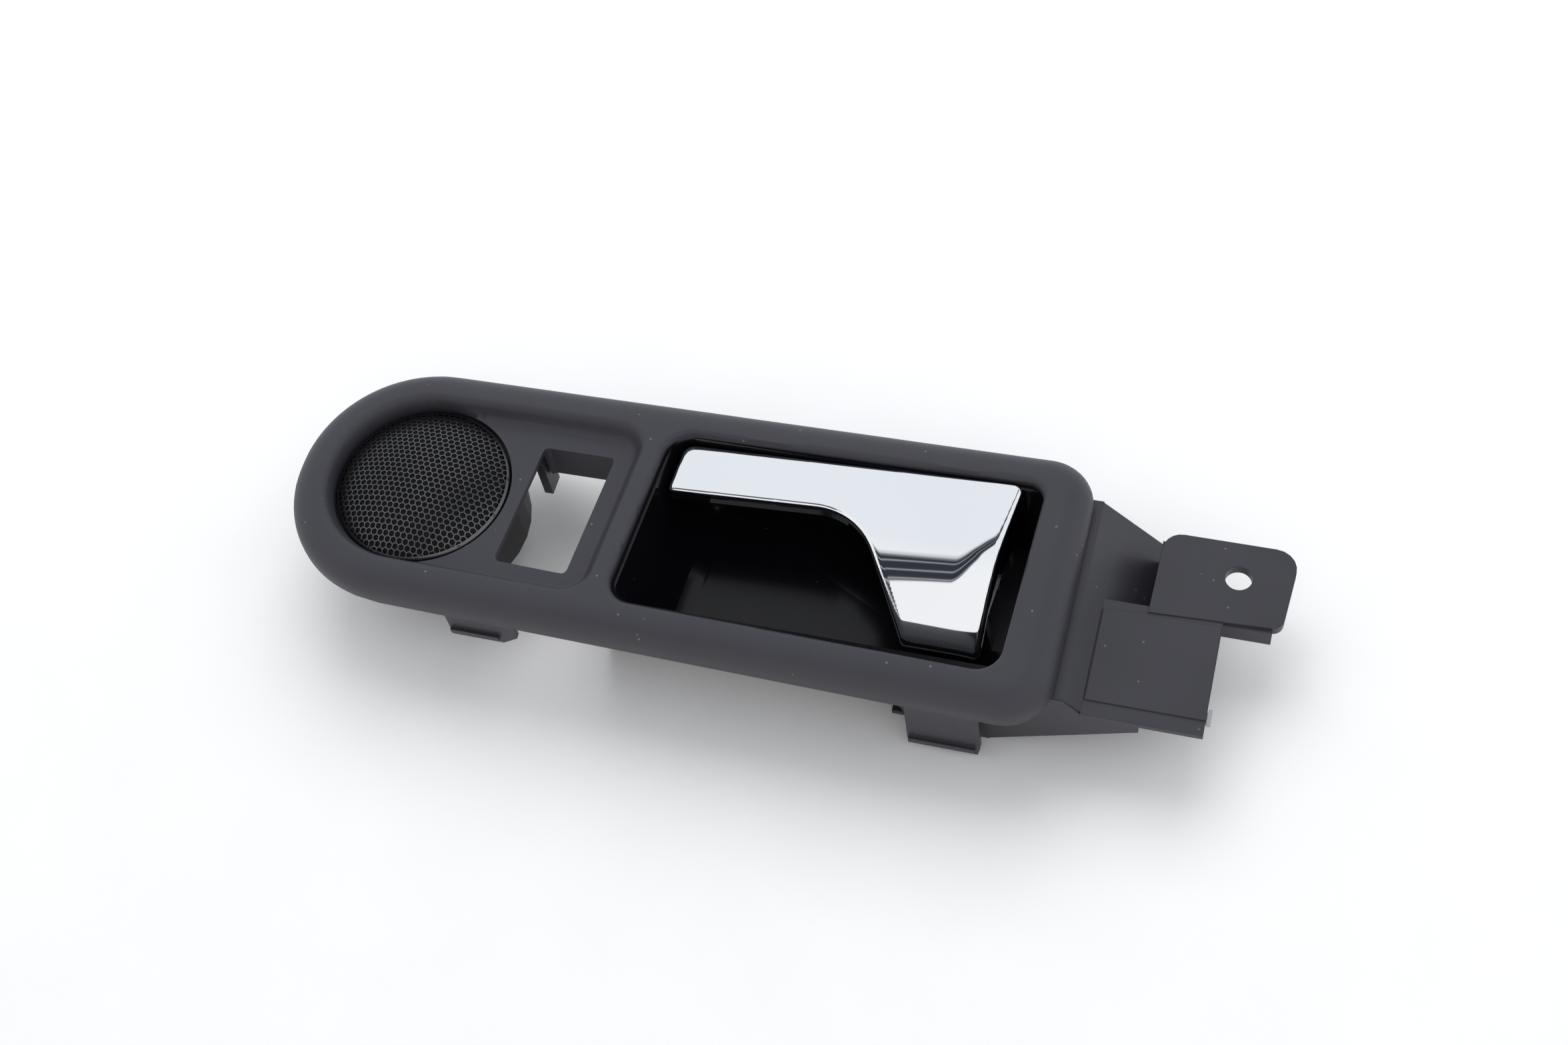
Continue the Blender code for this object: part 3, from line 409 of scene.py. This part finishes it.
class HANDLE_OT_bezel(bpy.types.Operator):
    """Build the soft-touch bezel with its rounded rails, sunken bay and openings"""

    bl_idname = "door_handle.bezel"
    bl_label = "Bezel"

    def execute(self, context):
        sizes = context.scene.door_handle_bezel
        outer, pocket, bay = rounded(BEZEL, 24), rounded(POCKET), rounded(BAY, 16)
        switch = self.bowed(rounded(SWITCH, 4))
        turns = np.linspace(0, 2 * math.pi, 96, endpoint=False)
        ring = GRILLE_HOLE_RADIUS * np.stack([np.cos(turns), np.sin(turns)], 1)
        points, quads, border, label = trimmed_grid(outer, [pocket, ring, switch], sizes.pitch / MM)
        width, drop, lip = sizes.rail_width / MM, sizes.rail_drop / MM, sizes.lip / MM
        profile = [(0, -drop - lip), *quarter(width, drop), (width + 1, 0)]
        flat, height = rolled_edge(points, outer, profile, width + 1)

        into_bay, _ = distance_in(points, bay)
        run = sizes.wall_run / MM + 1.2 * np.clip((points[:, 0] - 48) / 8, 0, 1)
        height = height - sizes.bay_depth / MM * smooth_step((into_bay + 0.7) / (run + 0.7))
        edge = sizes.edge_radius / MM
        from_pocket = np.clip(-distance_in(points, pocket)[0] / edge, 0, 1)
        height -= edge * (1 - np.sqrt(1 - (1 - from_pocket) ** 2))

        solid = np.column_stack([flat, height])
        bottoms = height.copy()
        bottoms[label == 1] = POCKET_WALL_FOOT
        bottoms[label == 2] = GRILLE_WALL_FOOT
        far_side = (label == 3) & (points[:, 1] > SWITCH_FAR_SIDE)
        bottoms[label == 3] = SWITCH_WALL_FOOT
        bottoms[far_side] = -sizes.skirt / MM
        inner = np.array([edge for edge in border if label[edge[0]] > 0 and label[edge[1]] > 0])
        solid, faces = with_skirt(solid, quads, inner, bottoms)
        finish = surface("soft_touch_trim", sizes.tint, 0.50, grain=2600, depth=0.012, mottle=0.05, dust=0.35)
        piece = piece_from("bezel_shell", solid, faces, finish, "housing")
        thicken(piece, 1.0 * MM)
        settle(piece, 50)
        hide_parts("bezel")
        return {"FINISHED"}

    @staticmethod
    def bowed(outline):
        """The switch opening's short ends bulge by a fraction of a millimetre."""
        share = np.clip((outline[:, 0] - 30) / 20, 0, 1)
        outline[:, 1] += np.where(outline[:, 1] > 0, 0.4, -0.2) * np.sin(math.pi * share)
        return outline


class HANDLE_OT_grille(bpy.types.Operator):
    """Build the domed honeycomb grille, and a near-black sheet just behind it that is painted shade seen
    through its holes
    """

    bl_idname = "door_handle.grille"
    bl_label = "Grille"

    def execute(self, context):
        sizes = context.scene.door_handle_grille
        pitch, radius, sphere = sizes.pitch / MM, sizes.radius / MM, sizes.sphere / MM
        crown = -sizes.rim_height / MM - math.sqrt(sphere**2 - radius**2)
        reach = pitch / math.sqrt(3)
        corners, faces, seen = [], [], {}

        def point(x, y):
            far = math.hypot(x, y)
            if far > radius - 0.35:
                x, y = x * (radius - 0.35) / far, y * (radius - 0.35) / far
            key = (round(x, 4), round(y, 4))
            if key not in seen:
                seen[key] = len(corners)
                corners.append((x, y, crown + math.sqrt(sphere**2 - x * x - y * y) - 0.02))
            return seen[key]

        rows = int(radius / (pitch * 0.866)) + 2
        columns = int(radius / pitch) + 2
        for row in range(-rows, rows + 1):
            for column in range(-columns, columns + 1):
                x, y = (column + 0.5 * (row % 2)) * pitch, row * pitch * math.sqrt(3) / 2
                if math.hypot(x, y) > radius - 0.7:
                    continue
                around = [math.radians(60 * k + 30) for k in range(6)]
                outside = [point(x + reach * math.cos(a), y + reach * math.sin(a)) for a in around]
                hole = reach * sizes.open_share
                inside = [point(x + hole * math.cos(a), y + hole * math.sin(a)) for a in around]
                for k in range(6):
                    n = (k + 1) % 6
                    face = (outside[k], outside[n], inside[n], inside[k])
                    if len(set(face)) == 4:
                        faces.append(face)
        finish = surface("lacquered_mesh", sizes.tint, 0.34, metallic=1.0, grain=1500, depth=0.01, mottle=0.2)
        piece = piece_from("grille_mesh", corners, faces, finish, "housing")
        thicken(piece, 0.3 * MM)
        settle(piece, 40)

        def dome(distance, below):
            return crown + math.sqrt(sphere**2 - distance**2) - below

        rim_line = [
            (radius - 0.9, dome(radius - 0.9, 0.0)), (radius - 0.45, dome(radius - 0.45, 0.0)),
            (radius - 0.12, -5.3), (radius, -5.6), (radius, -7.2),
        ]
        rim = self.spun("grille_rim", rim_line, finish, "mesh")
        thicken(rim, 0.4 * MM, 1.0)
        settle(rim, 60)
        # A near-black sheet 0.8 mm under the dome: painted shade behind the grille's holes
        shade_sheet_line = [(r, dome(r, 0.8)) for r in np.linspace(radius - 1.5, 0.01, 14)]
        shade_sheet_finish = surface("painted_shade_sheet", (0.003, 0.003, 0.003), 0.9, grain=3500, depth=0.04, mottle=0.3)
        shade_sheet = self.spun("grille_painted_shade", shade_sheet_line, shade_sheet_finish, "silk")
        thicken(shade_sheet, 0.1 * MM, 0.0)
        settle(shade_sheet, 60)
        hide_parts("grille")
        return {"FINISHED"}

    @staticmethod
    def spun(name, line, finish, slot_name, steps=96):
        points = [
            (r * math.cos(2 * math.pi * s / steps), r * math.sin(2 * math.pi * s / steps), z)
            for r, z in line for s in range(steps)
        ]
        faces = [
            (level * steps + s, level * steps + (s + 1) % steps,
             (level + 1) * steps + (s + 1) % steps, (level + 1) * steps + s)
            for level in range(len(line) - 1) for s in range(steps)
        ]
        return piece_from(name, points, faces, finish, "housing")


class HANDLE_OT_pocket(bpy.types.Operator):
    """Build the gloss black finger pocket, open where the lever's hinge passes through its floor"""

    bl_idname = "door_handle.pocket"
    bl_label = "Finger Pocket"

    def execute(self, context):
        sizes = context.scene.door_handle_pocket
        points, faces, count = [], [], 0
        for z, left, right, near, far, radius, slant in POCKET_LEVELS:
            ring = rounded(
                [(left, near, radius), (right, near, POCKET_RIGHT_RADIUS), (right, far, POCKET_RIGHT_RADIUS),
                 (left + slant, far, radius)],
                sizes.corner_steps,
            )
            count = len(ring)
            points += [(x, y, z) for x, y in ring]
        for level in range(len(POCKET_LEVELS) - 1):
            for s in range(count):
                n = (s + 1) % count
                upper, lower = level * count, (level + 1) * count
                faces.append((lower + s, lower + n, upper + n, upper + s)[::-1])
        faces.append(tuple(range((len(POCKET_LEVELS) - 1) * count, len(POCKET_LEVELS) * count)))
        finish = surface("gloss_black", sizes.tint, 0.16, grain=300, depth=0.001, mottle=0.2, dust=0.10)
        finish.node_tree.nodes["Principled BSDF"].inputs["Specular IOR Level"].default_value = 0.28
        piece = piece_from("pocket_tub", points, faces, finish, "housing")
        thicken(piece, -sizes.wall, -1.0)
        piece.modifiers["wall"].use_even_offset = True
        cutters = [
            self.opening("well", (142, -6.4, -40), (171.5, 27.4, -30)),
            self.opening("gate", (165, -2, -32), (180, 4, -24)),
        ]
        for cutter in cutters:
            gap = piece.modifiers.new(cutter.name, "BOOLEAN")
            gap.operation = "DIFFERENCE"
            gap.object = cutter
        settle(piece, 30)
        for cutter in cutters:
            bpy.data.objects.remove(cutter)
        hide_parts("pocket_liner")
        return {"FINISHED"}

    @staticmethod
    def opening(name, low, high):
        ends = [[low[a], high[a]] for a in range(3)]
        corners = [(x, y, z) for x in ends[0] for y in ends[1] for z in ends[2]]
        sides = [(0, 1, 3, 2), (4, 6, 7, 5), (0, 4, 5, 1), (2, 3, 7, 6), (0, 2, 6, 4), (1, 5, 7, 3)]
        mesh = bpy.data.meshes.new(name)
        mesh.from_pydata(place_at(corners).tolist(), [], sides)
        cutter = bpy.data.objects.new(name, mesh)
        bpy.context.scene.collection.objects.link(cutter)
        return cutter


class HANDLE_OT_lever(bpy.types.Operator):
    """Build the plated pull lever with its hollowed leg, rolled edges and deep right flank"""

    bl_idname = "door_handle.lever"
    bl_label = "Lever"

    def execute(self, context):
        sizes = context.scene.door_handle_lever
        outline = rounded(LEVER, 14)
        points, quads, border, _ = trimmed_grid(outline, [], sizes.pitch / MM)
        roll = sizes.edge_radius / MM
        flat, height = rolled_edge(points, outline, [*quarter(roll, roll), (roll + 0.8, 0)], roll + 0.8)
        face = self.show_face(flat[:, 1]) - self.right_roll(flat)
        solid = np.column_stack([flat, face + height])
        thickness = np.where(flat[:, 1] > 11, sizes.bar_edge / MM, sizes.leg_edge / MM)
        bottoms = face - thickness
        right = points[:, 0] > 161.0 + 0.1 * np.clip(points[:, 1], 0, 30)
        bottoms[right] = np.minimum(bottoms[right], -sizes.flank / MM)
        solid, faces = with_skirt(solid, quads, border, bottoms)
        arm = solid - (PIVOT[0], 0, PIVOT[2])
        cosine, sine = math.cos(LEVER_TILT), math.sin(LEVER_TILT)
        solid = np.column_stack([
            PIVOT[0] + arm[:, 0] * cosine + arm[:, 2] * sine,
            arm[:, 1],
            PIVOT[2] - arm[:, 0] * sine + arm[:, 2] * cosine,
        ])
        finish = surface("bright_chrome", sizes.tint, 0.035, metallic=1.0, grain=40, depth=0.002, mottle=0.01)
        piece = piece_from("lever_skin", solid, faces, finish, "lever")
        thicken(piece, 1.0 * MM)
        settle(piece, 60)
        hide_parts("lever_cover")
        return {"FINISHED"}

    @staticmethod
    def right_roll(flat):
        """The face rolls over towards its right edge, more on the leg than on the bar."""
        edge = 162.3 + 0.10 * np.clip(flat[:, 1] + 15, 0, 45)
        inside = np.clip(flat[:, 0] - (edge - ROLL_WIDTH), 0, ROLL_WIDTH)
        return 0.0022 * inside**2.6 * np.clip((26 - flat[:, 1]) / 20, 0.15, 1)

    @staticmethod
    def show_face(y):
        below = LEG_START_Y - y
        bent = np.clip(below, 0, LEG_BEND)
        leg = -2.1 - 0.153 * bent - 0.0215 * bent**2 - LEG_SLOPE * (below - bent)
        return np.where(y > LEG_START_Y, -0.8 - 0.0045 * (29 - y) ** 2, leg)


# Finish of each carried-over node: colour, roughness, metallic, grain, depth
CARRIED = {
    "moulded_plastic": (("rear_housing",), (0.026, 0.026, 0.033), 0.42, 0.0, 1400, 0.02),
    "black_plastic": (
        ("grille_ring", "tweeter_cup", "tweeter_frame", "tweeter_socket", "lever_core"),
        (0.012, 0.012, 0.013), 0.5, 0.0, 1100, 0.02,
    ),
    "zinc_steel": (
        ("hinge_pin", "pin_clip", "return_spring", "cable_clip", "cover_screw_1", "cover_screw_2",
         *[f"bezel_screw_{i}" for i in range(1, 7)], *[f"cup_screw_{i}" for i in range(1, 4)]),
        (0.45, 0.45, 0.46), 0.3, 1.0, 700, 0.01,
    ),
    "phosphated_iron": (("tweeter_magnet",), (0.05, 0.05, 0.05), 0.6, 0.4, 500, 0.05),
    "coated_silk": (("tweeter_dome",), (0.02, 0.02, 0.025), 0.8, 0.0, 3000, 0.04),
    "stop_rubber": (("lever_stop_1", "lever_stop_2"), (0.010, 0.010, 0.010), 0.85, 0.0, 600, 0.05),
    "natural_acetal": (("bush_near", "bush_far"), (0.60, 0.58, 0.52), 0.45, 0.0, 400, 0.01),
}


class HANDLE_OT_finishes(bpy.types.Operator):
    """Give every carried-over part its own moulded, plated or turned finish"""

    bl_idname = "door_handle.finishes"
    bl_label = "Finishes of Other Parts"

    def execute(self, context):
        for name, (members, tint, roughness, metallic, grain, depth) in CARRIED.items():
            soften = 0.35 if name == "moulded_plastic" else 0.0
            dust = 0.3 if name == "moulded_plastic" else 0.0
            finish = surface(name, tint, roughness, metallic, grain, depth, 0.12, dust, soften=soften)
            for member in members:
                node = frame["nodes"][member]
                for place in node.material_slots:
                    place.material = finish
        return {"FINISHED"}


class HANDLE_OT_stage(bpy.types.Operator):
    """Lay the pale floor and set the soft light, the surroundings and the camera"""

    bl_idname = "door_handle.stage"
    bl_label = "Stage"

    def execute(self, context):
        sizes = context.scene.door_handle_stage
        self.floor(sizes)
        self.surroundings(sizes)
        self.lights(sizes)
        self.camera(sizes)
        context.scene.view_settings.view_transform = "Standard"
        return {"FINISHED"}

    @staticmethod
    def floor(sizes):
        half = sizes.floor_size / 2
        mesh = bpy.data.meshes.new("floor")
        corners = [(-half, -half, 0), (half, -half, 0), (half, half, 0), (-half, half, 0)]
        mesh.from_pydata(corners, [], [(0, 1, 2, 3)])
        mesh.materials.append(surface("pale_paper", sizes.floor_tint, 0.7, grain=60, depth=0.02, mottle=0.01))
        floor = bpy.data.objects.new("floor", mesh)
        bpy.context.scene.collection.objects.link(floor)

    @staticmethod
    def surroundings(sizes):
        """A bright room with one dark band, crossed by thin lines, which the plating picks up."""
        world = bpy.data.worlds.new("room")
        bpy.context.scene.world = world
        world.use_nodes = True
        nodes, links = world.node_tree.nodes, world.node_tree.links
        light = nodes["Background"]
        light.inputs["Strength"].default_value = sizes.sky
        where = nodes.new("ShaderNodeTexCoord")
        spread = nodes.new("ShaderNodeSeparateXYZ")
        links.new(where.outputs["Generated"], spread.inputs["Vector"])

        def math_node(operation, first, second, third=0.0):
            step = nodes.new("ShaderNodeMath")
            step.operation = operation
            for socket, value in zip(step.inputs, (first, second, third)):
                if isinstance(value, (int, float)):
                    socket.default_value = value
                else:
                    links.new(value, socket)
            return step.outputs["Value"]

        def ramp(value, low, high):
            spot = nodes.new("ShaderNodeMapRange")
            spot.interpolation_type = "SMOOTHSTEP"
            spot.inputs["From Min"].default_value = low
            spot.inputs["From Max"].default_value = high
            links.new(value, spot.inputs["Value"])
            return spot.outputs["Result"]

        wander = nodes.new("ShaderNodeTexNoise")
        wander.inputs["Scale"].default_value = 3.0
        wander.inputs["Detail"].default_value = 1.0
        links.new(where.outputs["Generated"], wander.inputs["Vector"])
        climb = math_node("MAXIMUM", math_node("ADD", spread.outputs["X"], 0.26), 0.0)
        level = math_node("MULTIPLY_ADD", climb, -2.0, spread.outputs["Y"])
        level = math_node("MULTIPLY_ADD", wander.outputs["Fac"], 0.10, level)
        depth = math_node("ADD", level, 0.60)
        band = math_node("MULTIPLY", ramp(depth, -0.115, -0.095), ramp(depth, 0.30, 0.16))
        above = ramp(spread.outputs["Z"], 0.35, 0.55)
        beside = ramp(spread.outputs["X"], -0.62, -0.48)
        streak = nodes.new("ShaderNodeTexWave")
        streak.bands_direction = "X"
        streak.inputs["Scale"].default_value = 3.0
        line_up = nodes.new("ShaderNodeCombineXYZ")
        links.new(level, line_up.inputs["X"])
        links.new(line_up.outputs["Vector"], streak.inputs["Vector"])
        lines = math_node("MULTIPLY_ADD", ramp(streak.outputs["Fac"], 0.88, 1.0), -0.35, 1.0)
        placed = math_node("MULTIPLY", band, above)
        cover = math_node("MULTIPLY", placed, math_node("MULTIPLY", beside, lines))
        sky = nodes.new("ShaderNodeValToRGB")
        for element, (spot, value) in zip(sky.color_ramp.elements, SKY_COLOURS):
            element.position = spot
            element.color = (*value, 1)
        links.new(math_node("MULTIPLY_ADD", spread.outputs["Y"], 0.5, 0.5), sky.inputs["Fac"])
        mixed = nodes.new("ShaderNodeMix")
        mixed.data_type = "RGBA"
        mixed.inputs["B"].default_value = DARK_BAND
        links.new(cover, mixed.inputs["Factor"])
        links.new(sky.outputs["Color"], mixed.inputs["A"])
        links.new(mixed.outputs["Result"], light.inputs["Color"])

    @staticmethod
    def lights(sizes):
        for name, spot, size, share in (
            ("key", (-0.12, 0.62, 0.95), 0.9, 1.0), ("fill", (0.75, 0.55, 0.80), 0.8, 0.15),
        ):
            data = bpy.data.lights.new(name, "AREA")
            data.size = size
            data.energy = sizes.key * share
            lamp = bpy.data.objects.new(name, data)
            lamp.location = spot
            lamp.rotation_euler = (-Vector(spot)).to_track_quat("-Z", "Y").to_euler()
            lamp.visible_glossy = False
            bpy.context.scene.collection.objects.link(lamp)

    @staticmethod
    def camera(sizes):
        data = bpy.data.cameras.new("camera")
        data.lens = sizes.lens
        data.sensor_width = 36
        eye = bpy.data.objects.new("camera", data)
        turn = Matrix(CAMERA_AXES).transposed().to_4x4()
        eye.matrix_world = Matrix.Translation(Vector(place_at(CAMERA_PLACE))) @ turn
        bpy.context.scene.collection.objects.link(eye)
        bpy.context.scene.camera = eye


# ---------------------------------------------------------------- sidebar and registration


class HANDLE_PT_sidebar(bpy.types.Panel):
    bl_idname = "HANDLE_PT_sidebar"
    bl_label = "Interior Door Handle"
    bl_space_type = "VIEW_3D"
    bl_region_type = "UI"
    bl_category = "Door Handle"

    def draw(self, context):
        for operator, settings in BUILD_ORDER:
            box = self.layout.box()
            box.operator(operator.bl_idname)
            if settings:
                group = getattr(context.scene, settings)
                for name in group.__annotations__:
                    box.prop(group, name)


BUILD_ORDER = (
    (HANDLE_OT_bezel, "door_handle_bezel"),
    (HANDLE_OT_grille, "door_handle_grille"),
    (HANDLE_OT_pocket, "door_handle_pocket"),
    (HANDLE_OT_lever, "door_handle_lever"),
    (HANDLE_OT_finishes, None),
    (HANDLE_OT_stage, "door_handle_stage"),
)
SETTINGS = {
    "door_handle_bezel": BezelSettings,
    "door_handle_grille": GrilleSettings,
    "door_handle_pocket": PocketSettings,
    "door_handle_lever": LeverSettings,
    "door_handle_stage": StageSettings,
}
CLASSES = (*SETTINGS.values(), *[operator for operator, _ in BUILD_ORDER], HANDLE_PT_sidebar)


def register():
    for cls in CLASSES:
        bpy.utils.register_class(cls)
    for name, group in SETTINGS.items():
        setattr(bpy.types.Scene, name, PointerProperty(type=group))


def unregister():
    for name in SETTINGS:
        delattr(bpy.types.Scene, name)
    for cls in reversed(CLASSES):
        bpy.utils.unregister_class(cls)


def main():
    register()
    bpy.ops.door_handle.bezel()
    bpy.ops.door_handle.grille()
    bpy.ops.door_handle.pocket()
    bpy.ops.door_handle.lever()
    bpy.ops.door_handle.finishes()
    bpy.ops.door_handle.stage()


if __name__ == "__main__":
    main()
